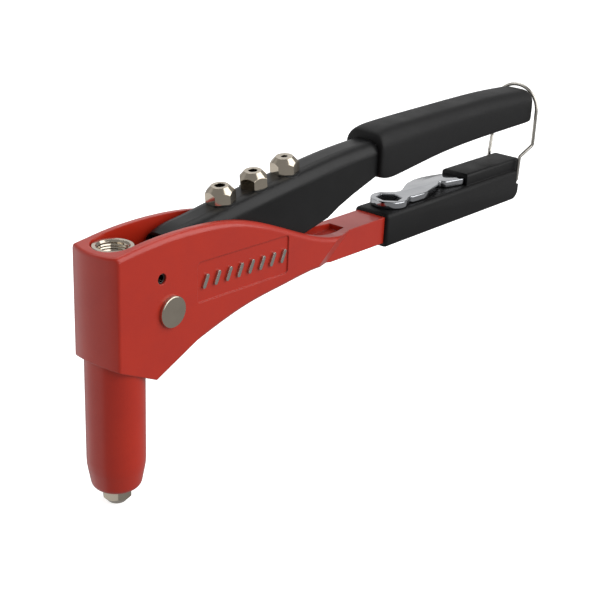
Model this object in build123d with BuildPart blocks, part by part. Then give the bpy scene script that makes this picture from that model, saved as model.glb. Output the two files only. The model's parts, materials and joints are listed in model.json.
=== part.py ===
"""Hand riveter: a cast body with a barrel, a lever on a pivot pin, the pulling jaws in the barrel,
a stowed spanner, three spare nosepieces and a wire bail.

Millimetres, +Z up. The origin is the centre of the fitted nosepiece's tip, the barrel stands along
+Z and the handles run along +X. The lever is modelled closed, on top of the body.
"""

from build123d import *
import math
import os

os.makedirs("parts", exist_ok=True)

# ---- driving dimensions ------------------------------------------------------------------------
slide_clearance = 0.08      # radial, between the jaw assembly and the bore it slides in
pin_clearance = 0.05        # radial, between a pin or shank and its hole
gap = 0.3                   # between parts that move past each other
side_play = 0.4             # between the lever and each cheek

nosepiece_height = 6.2
nosepiece_flats = 10.0
nosepiece_tip_r = 3.4
nosepiece_cone_start = 3.4
nosepiece_shank_r = 3.0
nosepiece_shank_length = 7.0
fitted_bore_r = 1.55
spare_bore_rs = (2.0, 1.75, 1.3)
spare_turns = (22, -14, 17)

barrel_r = 10.75
barrel_end_r = 8.9
barrel_end_fillet = 3.0
barrel_cone_length = 10.0
barrel_cone_fillet = 20.0
barrel_end_wall = 8.2

body_half_width = 11.6
cheek_wall = 3.5
front_corner_x = -8.0
front_bulge = 3.1
front_corner_fillet = 1.2
housing_bottom = 57.5       # height of the housing over the nosepiece's tip
housing_height = 41.4
chin_x = 9.2
chin_drop = 8.3
crest_rise = 2.4            # how far the cheeks' crest stands over the housing's front
crest_fillet = 2.0
cheek_crest_x = 21.0
channel_floor = 4.2         # thickness under the channel
ramp_start_x = 97.0         # where the cheeks start to close in on the tang, at the bottom edge
ramp_length = 14.0
ramp_lean = 1.37            # how far the ramp leans back for each millimetre up

tang_half_width = 7.2
tang_start_x = 118.0
tang_slope = 0.018          # the tang's fall towards its end

pivot_x = 16.4
pivot_rise = 16.0           # height of the pivot over the housing's bottom corner
pivot_pin_r = 3.5
pivot_head_rim = 2.4
pivot_head_thickness = 1.5
clip_rim = 2.1
clip_thickness = 0.8
stop_pin_r = 2.0
stop_pin_wall = 0.6
stop_pin_recess = 0.7
stop_distance = 14.07       # from the pivot to the stop pin
stop_pin_angle = 109.1

lever_opening = 40.0        # degrees
lever_wall = 2.4
lever_crown_fillet = 5.2
boss_wall = 2.85
bush_wall = 1.1
fork_rise = 6.5             # height of the fork's round ends over the pivot
fork_end_r = 5.0
seat_first_x = 53.3
seat_spacing = 18.16
seat_tilt = 6.33            # degrees that the lever's top rises along the row of spare nosepieces
seat_boss_r = 5.5
lever_tang_height = 9.6

upper_grip_start_x = 140.0
upper_grip_end_x = 262.2
upper_grip_wall = 5.6
upper_grip_crown_fillet = 7.0
upper_grip_low_fillet = 2.5
upper_grip_swell = ((0.625, 17.1), (0.345, 18.4), (0.223, 19.9), (0.082, 21.7))

lower_grip_start_x = 148.5
lower_grip_side_wall = 1.8
lower_grip_wall = 1.5
lower_grip_rear_fillet = 5.0
lower_grip_edge_fillet = 2.4
pocket_length = 46.5
pocket_wall = 1.1
pocket_roof = 2.1
pocket_roof_fillet = 1.4

spanner_thickness = 2.9
spanner_ring_r = 8.2
spanner_flats = 10.0
spanner_tail_length = 27.5
spanner_tail_half_width = 5.6

sleeve_r = 7.8
neck_r = 5.0
sleeve_body_length = 13.2
thread_r = 5.5
thread_length = 7.0
mandrel_r = 2.6
exit_bore_r = 5.3
exit_bore_depth = 7.0
plug_r = 5.0
plug_height = 5.0
locknut_height = 4.6

bail_wire_r = 0.8
bail_low_half_width = 8.5
bail_high_half_width = 11.5
bail_end_bend_r = 1.2
bail_bend_r = 1.8

panel_depth = 0.5
panel_start_x = 29.5
panel_length = 50.0
panel_height = 15.5
panel_corner_r = 1.5
panel_fall = 0.035
bar_count = 8
bar_spacing = 6.1
bar_width = 1.6
bar_height = 5.6
bar_lean = 65
bar_proud = 0.45

# ---- sizes worked out from them ----------------------------------------------------------------
housing_top = housing_bottom + housing_height
chin_z = housing_bottom - chin_drop
cheek_crest_z = housing_top + crest_rise
pivot_z = housing_bottom + pivot_rise
fork_z = pivot_z + fork_rise
stop_x = pivot_x + stop_distance * math.cos(math.radians(stop_pin_angle))
stop_z = pivot_z + stop_distance * math.sin(math.radians(stop_pin_angle))
tang_top = pivot_z + 3.1
tang_bottom = pivot_z - 8.2
seat_first_z = pivot_z + 29.5
lever_tang_bottom = pivot_z + 26.5
lever_tang_top = lever_tang_bottom + lever_tang_height
upper_grip_top = lever_tang_top + upper_grip_wall
tang_end_x = upper_grip_end_x - 4.3
lower_grip_end_x = tang_end_x + 1.1
lever_tang_end_x = upper_grip_end_x - 6.2
bail_pivot_x = tang_end_x - 1.3
bail_pivot_z = pivot_z - 3.5
bail_spread_z = bail_pivot_z + 12.0
bail_straight_z = bail_spread_z + 5.5
bail_arch_z = upper_grip_top - 11.3

channel_half_width = body_half_width - cheek_wall
lever_half_width = channel_half_width - side_play
hollow_half_width = neck_r + gap
lever_tang_half_width = lever_half_width - 1.2
upper_grip_half_width = lever_half_width + 2.6
lower_grip_half_width = tang_half_width + lower_grip_side_wall
pocket_half_width = spanner_tail_half_width + gap + pocket_wall
pocket_start_x = lower_grip_end_x - pocket_length
spanner_ring_x = lower_grip_start_x + 12.7
bore_r = sleeve_r + slide_clearance
bush_r = pivot_pin_r + pin_clearance + bush_wall
boss_r = bush_r + boss_wall
pivot_head_r = pivot_pin_r + pivot_head_rim
clip_r = pivot_pin_r + clip_rim
barrel_bore_start = nosepiece_height + barrel_end_wall
neck_top = fork_z + fork_end_r + gap
neck_bottom = fork_z - fork_end_r - gap
head_top = housing_top + gap
fork_reach = math.hypot(pivot_x, fork_rise)
fork_angle = math.atan2(fork_rise, -pivot_x)
lever_travel = fork_rise - fork_reach * math.sin(fork_angle + math.radians(lever_opening))
case_end = barrel_bore_start + lever_travel + 0.54
sleeve_shoulder_end = neck_bottom - sleeve_body_length
tang_fall = tang_slope * (tang_end_x - tang_start_x)
bail_pin_hole_r = bail_wire_r + pin_clearance
panel_high = pivot_z + 14.5
panel_low = panel_high - panel_height
panel_end_x = panel_start_x + panel_length
bar_first_x = panel_start_x + 4.0


def slab(half_width, *outline):
    """A solid with a closed outline of X, Z points, as thick to both sides of the middle."""
    with BuildPart() as solid:
        with BuildSketch(Plane.XZ.offset(-half_width)):
            with BuildLine():
                Polyline(*outline, close=True)
            make_face()
        extrude(amount=2 * half_width)
    return solid.part


def turned(*outline):
    """A solid turned about the barrel's axis from an outline of radius, Z points."""
    with BuildPart() as solid:
        with BuildSketch(Plane.XZ):
            with BuildLine():
                Polyline(*outline, close=True)
            make_face()
        revolve(axis=Axis.Z)
    return solid.part


def save(piece, label):
    """Label a finished piece and write it as its own STEP file."""
    piece.label = label
    export_step(piece, f"parts/{label}.step")


# ---- cast body ---------------------------------------------------------------------------------
cheek_crest = [
    (-2, housing_top + 1.1), (8, housing_top + 2.1), (cheek_crest_x, cheek_crest_z),
    (36.4, cheek_crest_z - 0.8), (52, cheek_crest_z - 3.2), (64.6, cheek_crest_z - 7.0),
    (82.6, cheek_crest_z - 14.3), (104, tang_top + 2.4), (tang_start_x, tang_top),
]
belly = [
    (112, tang_bottom), (96, tang_bottom + 1.6), (80.8, tang_bottom + 0.5), (58, tang_bottom - 1.7),
    (38.8, tang_bottom - 5.8), (20.6, tang_bottom - 11.1),
]
front_x = front_corner_x - front_bulge - 1
barrel_top = housing_bottom + 3
front_slope = (housing_bottom - chin_z) / (chin_x - front_corner_x)
tang_end_top = tang_top - tang_fall
tang_end_bottom = tang_bottom - 1.2 - tang_fall

# the open channel for the lever, and the pocket for its fork under the front lip
with BuildPart() as channel:
    add(slab(
        channel_half_width,
        (front_corner_x + 1.2, housing_bottom + 1.3), (front_corner_x + 1.2, stop_z),
        (0, stop_z), (0, cheek_crest_z + 9), (tang_start_x + 6.5, cheek_crest_z + 9),
        (tang_start_x + 6.5, tang_top - 2.5), (104, tang_bottom + channel_floor + 2.2),
        (88, tang_bottom + channel_floor + 1.2), (58, tang_bottom + channel_floor - 2.0),
        (40, tang_bottom + channel_floor - 5.8), (22, housing_bottom + 1.9),
        (14, housing_bottom + 1.3)))
    with BuildSketch(Plane.XY):
        with BuildLine():
            Polyline((front_x, channel_half_width), (100, channel_half_width),
                     (tang_start_x + 6.5, tang_half_width - cheek_wall),
                     (tang_start_x + 6.5, cheek_wall - tang_half_width),
                     (100, -channel_half_width), (front_x, -channel_half_width), close=True)
        make_face()
    extrude(amount=2 * housing_top, mode=Mode.INTERSECT)

# the barrel, with its tapered and rounded end
with BuildPart() as barrel:
    add(turned((0, nosepiece_height), (barrel_end_r, nosepiece_height),
               (barrel_r, nosepiece_height + barrel_cone_length), (barrel_r, barrel_top),
               (0, barrel_top)))
    fillet(barrel.edges().filter_by(GeomType.CIRCLE).sort_by(Axis.Z)[1], barrel_cone_fillet)
    fillet(barrel.edges().filter_by(GeomType.CIRCLE).sort_by(Axis.Z)[0], barrel_end_fillet)

with BuildPart() as body_frame:
    with BuildSketch(Plane.XZ):
        with BuildLine():
            Line((front_x, housing_bottom + 4 * front_slope), (front_x, housing_top))
            Line((front_x, housing_top), cheek_crest[0])
            Spline(*cheek_crest)
            Line(cheek_crest[-1], (tang_end_x, tang_end_top))
            Line((tang_end_x, tang_end_top), (tang_end_x, tang_end_bottom))
            Line((tang_end_x, tang_end_bottom), belly[0])
            Spline(*belly)
            Line(belly[-1], (chin_x, chin_z))
            Line((chin_x, chin_z), (front_x, housing_bottom + 4 * front_slope))
        make_face()
    extrude(amount=body_half_width, both=True)
    crest_edges = body_frame.edges().filter_by(
        lambda edge: abs(abs(edge.center().Y) - body_half_width) < 0.01
        and edge.geom_type == GeomType.BSPLINE)
    fillet(crest_edges, crest_fillet)
    with BuildSketch(Plane.XY):
        with BuildLine():
            ThreePointArc((front_corner_x, -body_half_width), (front_corner_x - front_bulge, 0),
                          (front_corner_x, body_half_width))
            Polyline((front_corner_x, body_half_width), (tang_end_x, body_half_width),
                     (tang_end_x, -body_half_width), (front_corner_x, -body_half_width))
        make_face()
    extrude(amount=2 * housing_top, mode=Mode.INTERSECT)
    front_edges = body_frame.edges().filter_by(Axis.Z).filter_by(
        lambda edge: abs(edge.center().X - front_corner_x) < 0.1)
    fillet(front_edges, front_corner_fillet)
    for side in (-1, 1):
        ramp_foot = ramp_start_x - ramp_lean * (tang_bottom + 1.6)
        with BuildSketch(Plane.XY):
            with BuildLine():
                Polyline((ramp_foot, side * (body_half_width + 0.01)),
                         (ramp_foot + ramp_length, side * tang_half_width),
                         (tang_end_x, side * tang_half_width),
                         (tang_end_x, side * (body_half_width + 1)),
                         (ramp_foot, side * (body_half_width + 1)), close=True)
            make_face()
        extrude(amount=2 * housing_top, dir=(ramp_lean, 0, 1), mode=Mode.SUBTRACT)
    add(barrel.part)
    add(channel.part, mode=Mode.SUBTRACT)
    with Locations((0, 0, barrel_bore_start)):
        Cylinder(bore_r, housing_top, align=(Align.CENTER, Align.CENTER, Align.MIN), mode=Mode.SUBTRACT)
        Cylinder(nosepiece_shank_r + pin_clearance, 2 * barrel_end_wall, mode=Mode.SUBTRACT)
    # holes across both cheeks, and the bail's hole through the end of the tang
    for hole_x, hole_z, hole_r in ((pivot_x, pivot_z, pivot_pin_r), (stop_x, stop_z, stop_pin_r),
                                   (bail_pivot_x, bail_pivot_z, bail_pin_hole_r)):
        with BuildSketch(Plane.XZ):
            with Locations((hole_x, hole_z)):
                Circle(hole_r)
        extrude(amount=body_half_width + 1, both=True, mode=Mode.SUBTRACT)
    # shallow panels in both cheeks
    for side in (-1, 1):
        with BuildSketch(Plane.XZ.offset(side * (body_half_width - panel_depth))) as panel:
            panel_drop = panel_fall * (panel_end_x - panel_start_x)
            with BuildLine():
                Polyline((panel_start_x, panel_low), (panel_end_x, panel_low - panel_drop),
                         (panel_end_x, panel_high - panel_drop), (panel_start_x, panel_high), close=True)
            make_face()
            fillet(panel.vertices(), panel_corner_r)
        extrude(amount=side * 2, mode=Mode.SUBTRACT)
save(body_frame.part, "body_frame")

with BuildPart() as relief_bars:
    for side in (-1, 1):
        with BuildSketch(Plane.XZ.offset(side * (body_half_width - panel_depth))):
            for index in range(bar_count):
                bar_x = bar_first_x + index * bar_spacing
                bar_z = (panel_low + panel_high) / 2 - panel_fall * (bar_x - panel_start_x)
                with Locations((bar_x, bar_z)):
                    SlotOverall(bar_height, bar_width, rotation=bar_lean)
        extrude(amount=side * (panel_depth + bar_proud))
save(relief_bars.part, "relief_bars")

# ---- pivot pin, its clip and the stop pin ------------------------------------------------------
with BuildPart() as pivot_pin:
    with BuildSketch(Plane.XZ.offset(body_half_width)):
        with Locations((pivot_x, pivot_z)):
            Circle(pivot_head_r)
    extrude(amount=pivot_head_thickness)
    fillet(pivot_pin.edges().sort_by(Axis.Y)[0], 0.5)
    with BuildSketch(Plane.XZ.offset(body_half_width)):
        with Locations((pivot_x, pivot_z)):
            Circle(pivot_pin_r)
    extrude(amount=-(2 * body_half_width + 2 * clip_thickness))
    chamfer(pivot_pin.edges().sort_by(Axis.Y)[-1], 0.4)
save(pivot_pin.part, "pivot_pin")

with BuildPart() as pivot_clip:
    with BuildSketch(Plane.XZ.offset(-body_half_width)):
        with Locations((pivot_x, pivot_z)):
            Circle(clip_r)
            Circle(pivot_pin_r, mode=Mode.SUBTRACT)
        with Locations((pivot_x + clip_r, pivot_z)):
            Rectangle(clip_r * 1.4, pivot_pin_r, mode=Mode.SUBTRACT)
    extrude(amount=-clip_thickness)
save(pivot_clip.part, "pivot_clip")

with BuildPart() as stop_pin:
    with BuildSketch(Plane.XZ):
        with Locations((stop_x, stop_z)):
            Circle(stop_pin_r)
            Circle(stop_pin_r - stop_pin_wall, mode=Mode.SUBTRACT)
        with Locations((stop_x, stop_z + stop_pin_r)):
            Rectangle(0.5, stop_pin_r, mode=Mode.SUBTRACT)
    extrude(amount=body_half_width - stop_pin_recess, both=True)
save(stop_pin.part, "stop_pin")

# ---- return spring, coiled round the lever's bush ----------------------------------------------
spring_wire_r = 0.55
spring_coil_r = bush_r + spring_wire_r + 0.5
spring_pitch = 1.3
spring_turns = 4
spring_half_length = spring_pitch * spring_turns / 2
spring_leg_x = pivot_x + spring_coil_r
spring_legs = (
    (-spring_half_length, cheek_crest_z - 6.9), (spring_half_length, housing_bottom + 2.9),
)

with BuildPart() as spring_coil:
    with BuildLine() as coil:
        Helix(pitch=spring_pitch, height=2 * spring_half_length, radius=spring_coil_r,
              center=(0, -spring_half_length, 0), direction=(0, 1, 0))
    with BuildSketch(Plane(origin=coil.line @ 0, z_dir=coil.line % 0)):
        Circle(spring_wire_r)
    sweep(path=coil.line)

with BuildPart() as return_spring:
    with Locations((pivot_x, 0, pivot_z)):
        add(spring_coil.part, rotation=(0, 90, 0))
    for leg_y, leg_end_z in spring_legs:
        with BuildSketch(Plane(origin=(spring_leg_x, leg_y, pivot_z), z_dir=(0, 0, 1))):
            Circle(spring_wire_r)
        extrude(amount=leg_end_z - pivot_z)
save(return_spring.part, "return_spring")


# ---- nosepieces --------------------------------------------------------------------------------
def nosepiece(seat, hole_r, turn):
    """A nosepiece whose hexagon stands on the seat plane, with its shank below the plane."""
    cone_slope = (nosepiece_flats / math.sqrt(3) + 0.1 - nosepiece_tip_r) / (
        nosepiece_height - nosepiece_cone_start)
    upright = (Align.CENTER, Align.CENTER, Align.MIN)
    with BuildPart() as piece:
        with BuildSketch():
            RegularPolygon(nosepiece_flats / 2, 6, major_radius=False, rotation=turn)
        extrude(amount=nosepiece_height)
        Cone(nosepiece_tip_r + cone_slope * nosepiece_height, nosepiece_tip_r, nosepiece_height,
             align=upright, mode=Mode.INTERSECT)
        Cone(nosepiece_flats / 2 + 0.3, nosepiece_flats + nosepiece_height, nosepiece_height,
             align=upright, mode=Mode.INTERSECT)
        Cylinder(nosepiece_shank_r, nosepiece_shank_length,
                 align=(Align.CENTER, Align.CENTER, Align.MAX))
        Cylinder(hole_r, 4 * nosepiece_height, mode=Mode.SUBTRACT)
    return seat.location * piece.part


fitted_seat = Plane(origin=(0, 0, nosepiece_height), z_dir=(0, 0, -1))
nosepiece_fitted = nosepiece(fitted_seat, fitted_bore_r, 8)
save(nosepiece_fitted, "nosepiece_fitted")

tilt = math.radians(seat_tilt)
seats = []
for index in range(3):
    seat_x = seat_first_x + index * seat_spacing * math.cos(tilt)
    seat_z = seat_first_z + index * seat_spacing * math.sin(tilt)
    seats.append(Plane(origin=(seat_x, 0, seat_z), x_dir=(math.cos(tilt), 0, math.sin(tilt)),
                       z_dir=(-math.sin(tilt), 0, math.cos(tilt))))
for seat, hole_r, turn, place in zip(
        seats, spare_bore_rs, spare_turns, ("front", "middle", "rear")):
    spare = nosepiece(seat, hole_r, turn)
    save(spare, f"spare_nosepiece_{place}")

# ---- lever -------------------------------------------------------------------------------------
seat_last = seats[-1].origin
lever_crown = [
    (22.3, cheek_crest_z - 3.7), (25, cheek_crest_z - 2.5), (36.5, cheek_crest_z - 0.7),
    (seat_first_x - 5.7, seat_first_z - 0.8), (seat_first_x, seat_first_z),
    (seats[1].origin.X, seats[1].origin.Z), (seat_last.X, seat_last.Z),
    (102.4, lever_tang_top - 1.2), (117, lever_tang_top + 0.1), (128, lever_tang_top + 0.7),
    (upper_grip_start_x + 8, lever_tang_top + 1.2),
]
stop_angle = math.radians(60)


def pivot_ray(distance, angle):
    """The X, Z point at a distance and an angle from the pivot."""
    return (pivot_x + distance * math.cos(angle), pivot_z + distance * math.sin(angle))


lever_underside = [
    (upper_grip_start_x + 8, lever_tang_bottom - 1.2), (131.6, lever_tang_bottom - 6.0),
    (123.9, lever_tang_bottom - 8.3), (115.4, lever_tang_bottom - 11.3),
    (108.2, lever_tang_bottom - 14.6), (98.4, lever_tang_bottom - 16.6),
    (60, lever_tang_bottom - 24.5), (24, pivot_z - boss_r + 1.0), (19, pivot_z - boss_r + 0.5),
]
fork_outline = [
    (pivot_x, fork_z - fork_end_r + 0.1), (0, fork_z - fork_end_r + 0.1), (0, fork_z),
    (3.2, fork_z + 3.7), (8.1, fork_z - 0.4), (12, fork_z + 0.3),
    (pivot_x, pivot_z + boss_r + 0.3), pivot_ray(boss_r, stop_angle), (pivot_x, pivot_z),
]

with BuildPart() as lever_shape:
    with BuildSketch(Plane.XZ):
        with BuildLine():
            Spline(*lever_crown[:5])
            Line(lever_crown[4], lever_crown[6])
            Spline(*lever_crown[6:])
            Polyline(lever_crown[-1], *lever_underside, (pivot_x, pivot_z),
                     pivot_ray(boss_r, stop_angle), pivot_ray(16.6, stop_angle),
                     (22.0, cheek_crest_z - 6.5), lever_crown[0])
        make_face()
    extrude(amount=lever_half_width, both=True)
    crown_edges = lever_shape.edges().filter_by(
        lambda edge: abs(abs(edge.center().Y) - lever_half_width) < 0.01
        and edge.center().Z > cheek_crest_z - 2.5 and edge.length > 8)
    fillet(crown_edges, lever_crown_fillet)
    with BuildSketch(Plane.XZ):
        with Locations(((upper_grip_start_x + lever_tang_end_x) / 2,
                        (lever_tang_bottom + lever_tang_top) / 2)):
            Rectangle(lever_tang_end_x - upper_grip_start_x, lever_tang_top - lever_tang_bottom)
    extrude(amount=lever_tang_half_width, both=True)

with BuildPart() as lever:
    add(lever_shape.part)
    with BuildSketch(Plane.XZ):
        with Locations((0, fork_z)):
            Circle(fork_end_r)
        with Locations((pivot_x, pivot_z)):
            Circle(boss_r)
    extrude(amount=lever_half_width, both=True)
    add(slab(lever_half_width, *fork_outline))
    for seat in seats:
        with BuildSketch(seat):
            Circle(seat_boss_r)
        extrude(amount=-3.2)
    # the hollow underneath, open at the front and below
    with BuildSketch(Plane.XZ):
        hollow = [(point[0], point[1] - lever_wall) for point in lever_crown[2:-3]]
        with BuildLine():
            Polyline((-10, lever_crown[0][1] - lever_wall),
                     (lever_crown[1][0], lever_crown[1][1] - lever_wall), *hollow,
                     (125, lever_tang_top - lever_wall - 3), (125, 40), (-10, 40), close=True)
        make_face()
    extrude(amount=hollow_half_width, both=True, mode=Mode.SUBTRACT)
    # the fork's ends are cut off short of the housing's front wall
    with BuildSketch(Plane.XZ):
        with Locations((-5.6, fork_z)):
            Rectangle(4, 20)
    extrude(amount=lever_half_width, both=True, mode=Mode.SUBTRACT)
    with BuildSketch(Plane.XZ):
        with Locations((pivot_x, pivot_z)):
            Circle(bush_r)
    extrude(amount=lever_half_width, both=True, mode=Mode.SUBTRACT)
    for seat in seats:
        with BuildSketch(seat):
            Circle(nosepiece_shank_r + pin_clearance)
        extrude(amount=nosepiece_shank_length + 2, both=True, mode=Mode.SUBTRACT)
save(lever.part, "lever")

with BuildPart() as lever_bush:
    with BuildSketch(Plane.XZ):
        with Locations((pivot_x, pivot_z)):
            Circle(bush_r)
            Circle(pivot_pin_r + pin_clearance, mode=Mode.SUBTRACT)
    extrude(amount=lever_half_width, both=True)
save(lever_bush.part, "lever_bush")

# ---- upper grip --------------------------------------------------------------------------------
# the swell of its underside: shares of the grip's length, and depths under its top
grip_length = upper_grip_end_x - upper_grip_start_x
grip_underside = [(upper_grip_end_x, upper_grip_top - 17)]
for share, depth in upper_grip_swell:
    grip_underside.append((upper_grip_start_x + share * grip_length, upper_grip_top - depth))
grip_underside.append((upper_grip_start_x, upper_grip_top - 18.2))

with BuildPart() as upper_grip:
    with BuildSketch(Plane.XZ):
        with BuildLine():
            Spline((upper_grip_start_x, upper_grip_top - 3.2),
                   (upper_grip_start_x + 4, upper_grip_top - 1.2),
                   (upper_grip_start_x + 14, upper_grip_top),
                   (upper_grip_end_x - 32, upper_grip_top),
                   (upper_grip_end_x, upper_grip_top - 1.6))
            Line((upper_grip_end_x, upper_grip_top - 1.6), grip_underside[0])
            Spline(*grip_underside)
            Line(grip_underside[-1], (upper_grip_start_x, upper_grip_top - 3.2))
        make_face()
    extrude(amount=upper_grip_half_width, both=True)
    top_edges = upper_grip.edges().filter_by(
        lambda edge: abs(abs(edge.center().Y) - upper_grip_half_width) < 0.01
        and edge.length > 50)
    fillet(top_edges.group_by(Axis.Z)[-1], upper_grip_crown_fillet)
    low_edges = upper_grip.edges().filter_by(
        lambda edge: abs(abs(edge.center().Y) - upper_grip_half_width) < 0.01
        and edge.length > 50)
    fillet(low_edges.group_by(Axis.Z)[0], upper_grip_low_fillet)
    add(lever_shape.part, mode=Mode.SUBTRACT)
save(upper_grip.part, "upper_grip")

# ---- lower grip, with the raised pocket over the spanner's tail --------------------------------
def tang_top_at(x):
    """Height of the tang's top at x."""
    return tang_top - tang_slope * (x - tang_start_x)


def grip_top_at(x):
    """Height of the lower grip's top at x, which the spanner lies on."""
    return tang_top_at(x) + lower_grip_wall


tail_end_x = pocket_start_x + spanner_tail_length
grip_bottom_start = tang_bottom - 2.9
grip_bottom_end = grip_bottom_start - 2.2
notch_depth = lower_grip_end_x - bail_pivot_x + bail_wire_r + gap
notch_reach = 20.0

with BuildPart() as lower_grip:
    with BuildSketch(Plane.XZ):
        with BuildLine():
            Polyline((lower_grip_start_x, grip_top_at(lower_grip_start_x)),
                     (lower_grip_end_x, grip_top_at(lower_grip_end_x)),
                     (lower_grip_end_x, grip_bottom_end), (lower_grip_start_x, grip_bottom_start),
                     close=True)
        make_face()
    extrude(amount=lower_grip_half_width, both=True)
    rear_edge = lower_grip.edges().filter_by(Axis.Y).sort_by(
        lambda edge: edge.center().Z - edge.center().X)[0]
    fillet(rear_edge, lower_grip_rear_fillet)
    grip_edges = lower_grip.edges().filter_by(
        lambda edge: abs(abs(edge.center().Y) - lower_grip_half_width) < 0.01 and edge.length > 50)
    fillet(grip_edges, lower_grip_edge_fillet)
    with BuildSketch(Plane.XZ):
        with BuildLine():
            roof_start = grip_top_at(pocket_start_x) + gap + spanner_thickness + pocket_roof
            roof_end = grip_top_at(lower_grip_end_x) + spanner_thickness + 0.7
            Polyline((pocket_start_x, grip_top_at(pocket_start_x) - 1),
                     (lower_grip_end_x + 0.4, grip_top_at(lower_grip_end_x) - 1),
                     (lower_grip_end_x + 0.4, roof_end), (pocket_start_x, roof_start), close=True)
        make_face()
    extrude(amount=pocket_half_width, both=True)
    roof_edges = lower_grip.edges().filter_by(
        lambda edge: abs(abs(edge.center().Y) - pocket_half_width) < 0.01
        and edge.center().Z > grip_top_at(pocket_start_x) and edge.length > 30)
    fillet(roof_edges, pocket_roof_fillet)
    # the pocket, a close fit round the spanner's tail
    with BuildSketch(Plane.XZ):
        pocket_end_x = tail_end_x + 0.5
        with BuildLine():
            Polyline((pocket_start_x - 1, grip_top_at(pocket_start_x - 1)),
                     (pocket_end_x, grip_top_at(pocket_end_x)),
                     (pocket_end_x, grip_top_at(pocket_end_x) + spanner_thickness + 2 * gap),
                     (pocket_start_x - 1, grip_top_at(pocket_start_x - 1) + spanner_thickness + 2 * gap),
                     close=True)
        make_face()
    extrude(amount=spanner_tail_half_width + gap, both=True, mode=Mode.SUBTRACT)
    add(body_frame.part, mode=Mode.SUBTRACT)
    with BuildSketch(Plane.XZ):
        with Locations((bail_pivot_x, bail_pivot_z)):
            Circle(bail_pin_hole_r)
    extrude(amount=lower_grip_half_width, both=True, mode=Mode.SUBTRACT)
    # notches at the rear for the bail's legs, open to the rear and above
    for side in (-1, 1):
        with BuildSketch(Plane.XZ.offset(side * tang_half_width)):
            with Locations((lower_grip_end_x, bail_pivot_z)):
                Rectangle(2 * notch_depth, 2 * notch_reach)
            with Locations((lower_grip_end_x, bail_pivot_z - 12)):
                Rectangle(notch_reach, notch_reach, mode=Mode.SUBTRACT)
        extrude(amount=side * 4, mode=Mode.SUBTRACT)
save(lower_grip.part, "lower_grip")

# ---- spanner -----------------------------------------------------------------------------------
spanner_plane = Plane(
    origin=(spanner_ring_x, 0, grip_top_at(spanner_ring_x) + gap),
    x_dir=(1, 0, -tang_slope), z_dir=(tang_slope, 0, 1))
tail_start = pocket_start_x - spanner_ring_x

with BuildPart() as spanner:
    with BuildSketch(spanner_plane):
        Circle(spanner_ring_r)
        with BuildLine():
            Spline((5.0, 6.0), (11.4, 2.5), (18.5, 5.6), (32.1, 9.2), (39.9, 8.7), (tail_start - 1, 6.1))
            Polyline((tail_start - 1, 6.1), (tail_start - 0.4, spanner_tail_half_width),
                     (tail_start + spanner_tail_length, spanner_tail_half_width),
                     (tail_start + spanner_tail_length, -spanner_tail_half_width),
                     (tail_start - 0.4, -spanner_tail_half_width), (tail_start - 1, -6.1))
            Spline((tail_start - 1, -6.1), (46.2, -4.9), (38.4, -4.4))
            Polyline((38.4, -4.4), (36.6, 0.2), (33.4, -0.2), (33.0, -4.2))
            Spline((33.0, -4.2), (20.1, -5.7), (14.7, -5.0), (5.0, -7.2))
            Line((5.0, -7.2), (5.0, 6.0))
        make_face()
        RegularPolygon(spanner_flats / 2, 6, major_radius=False, rotation=12, mode=Mode.SUBTRACT)
    extrude(amount=spanner_thickness)
save(spanner.part, "spanner")

# ---- bail --------------------------------------------------------------------------------------
bail_x = upper_grip_end_x + gap + bail_wire_r

with BuildPart() as bail_wire:
    with BuildLine() as bail_path:
        arch_ends = []
        for side in (-1, 1):
            FilletPolyline(
                (bail_pivot_x, side * 3.5, bail_pivot_z),
                (bail_pivot_x, side * bail_low_half_width, bail_pivot_z),
                (bail_pivot_x + 0.6, side * bail_low_half_width, bail_spread_z),
                (bail_x, side * bail_high_half_width, bail_straight_z),
                (bail_x, side * bail_high_half_width, bail_arch_z),
                radius=[bail_end_bend_r, bail_bend_r, bail_bend_r])
            arch_ends.append((bail_x, side * bail_high_half_width, bail_arch_z))
        ThreePointArc(arch_ends[0], (bail_x, 0, bail_arch_z + bail_high_half_width), arch_ends[1])
    with BuildSketch(Plane(origin=(bail_pivot_x, -3.5, bail_pivot_z), z_dir=(0, -1, 0))):
        Circle(bail_wire_r)
    sweep(path=bail_path.wires()[0])
save(bail_wire.part, "bail_wire")

# ---- pull sleeve and the jaws ------------------------------------------------------------------
plug_top = head_top - exit_bore_depth
plug_foot = plug_top - plug_height
shank_end = sleeve_shoulder_end - locknut_height - thread_length
case_top = sleeve_shoulder_end - locknut_height
cone_top = case_end + 11.0
cone_mouth_r = 2.6

with BuildPart() as pull_sleeve:
    add(turned((mandrel_r, shank_end), (thread_r, shank_end), (thread_r, sleeve_shoulder_end),
               (sleeve_r, sleeve_shoulder_end), (sleeve_r, neck_bottom), (neck_r, neck_bottom),
               (neck_r, neck_top), (sleeve_r, neck_top), (sleeve_r, head_top - 0.6),
               (sleeve_r - 0.6, head_top), (exit_bore_r + 0.7, head_top),
               (exit_bore_r, head_top - 0.7), (exit_bore_r, plug_top), (plug_r, plug_top),
               (plug_r, plug_foot), (mandrel_r, plug_foot)))
save(pull_sleeve.part, "pull_sleeve")

with BuildPart() as spring_plug:
    add(turned((mandrel_r - 0.4, plug_foot), (plug_r, plug_foot), (plug_r, plug_top),
               (mandrel_r + 0.4, plug_top), (mandrel_r - 0.4, plug_top - 0.8)))
save(spring_plug.part, "spring_plug")

with BuildPart() as locknut:
    with BuildSketch(Plane.XY.offset(case_top)):
        RegularPolygon(sleeve_r - 0.1, 6)
        Circle(thread_r, mode=Mode.SUBTRACT)
    extrude(amount=locknut_height)
save(locknut.part, "locknut")

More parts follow.
